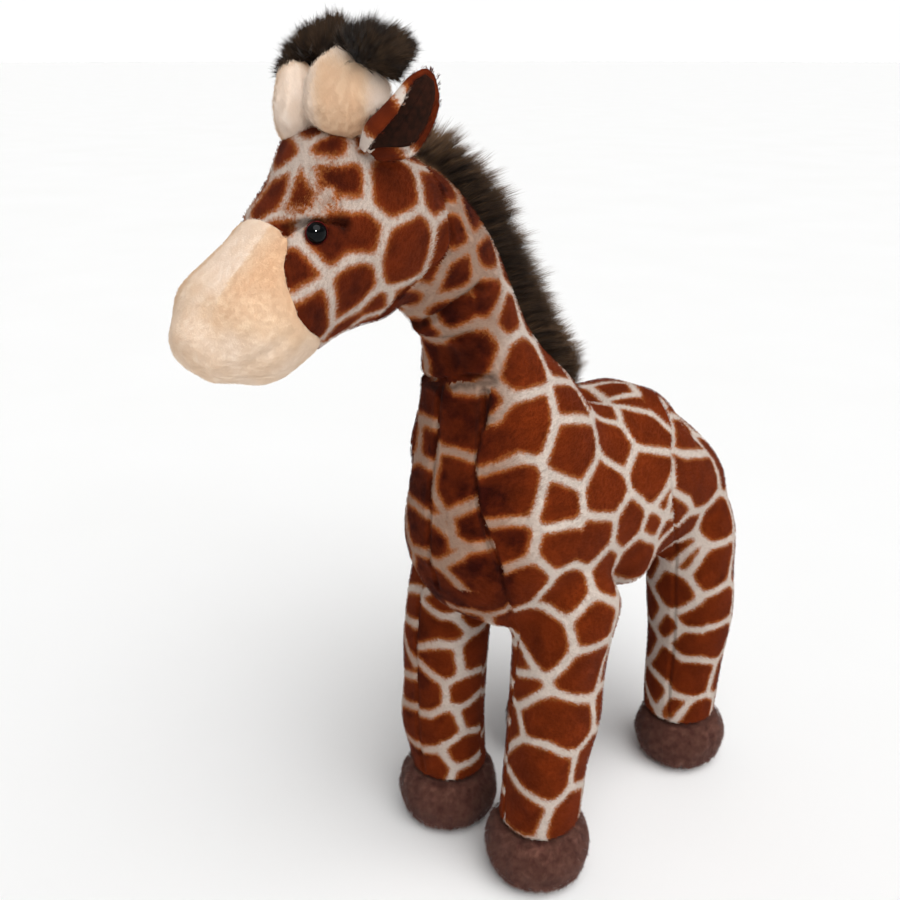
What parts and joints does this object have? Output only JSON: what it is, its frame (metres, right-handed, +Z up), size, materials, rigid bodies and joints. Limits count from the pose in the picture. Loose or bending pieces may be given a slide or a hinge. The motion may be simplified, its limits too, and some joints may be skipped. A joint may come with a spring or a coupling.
{
  "type": "plush giraffe toy",
  "caption": "Standing stuffed plush giraffe toy with a patterned coat, cream muzzle and ossicones, dark pile mane and tufts, brown plush feet and domed safety eyes.",
  "frame": {"origin": "on the floor, under the middle of the toy's box", "axes": "+Z up, the toy faces -Y, its left side is +X"},
  "size_m": [0.159, 0.4594, 0.5595],
  "materials": {
    "patterned_plush": "short velvety plush printed with rust brown patches and cream lines",
    "cream_plush": "short soft cream plush with a peach tint",
    "dark_pile": "long dense dark brown faux fur pile",
    "foot_plush": "medium pile mauve brown plush",
    "eye_plastic": "polished black moulded plastic safety eye"
  },
  "bodies": {
    "root": {"muzzle": "cream_plush", "head": "patterned_plush", "neck": "patterned_plush", "trunk": "patterned_plush", "leg_front_left": "patterned_plush", "leg_front_right": "patterned_plush", "leg_hind_left": "patterned_plush", "leg_hind_right": "patterned_plush", "eye_left": "eye_plastic", "eye_right": "eye_plastic", "foot_front_left": "foot_plush", "foot_front_right": "foot_plush", "foot_hind_left": "foot_plush", "foot_hind_right": "foot_plush", "ossicone_left": "cream_plush", "ossicone_tuft_left": "dark_pile", "ear_left": "patterned_plush", "ossicone_right": "cream_plush", "ossicone_tuft_right": "dark_pile", "ear_right": "patterned_plush", "mane": "dark_pile", "tail": "patterned_plush", "tail_tuft": "dark_pile"}
  },
  "joints": []
}
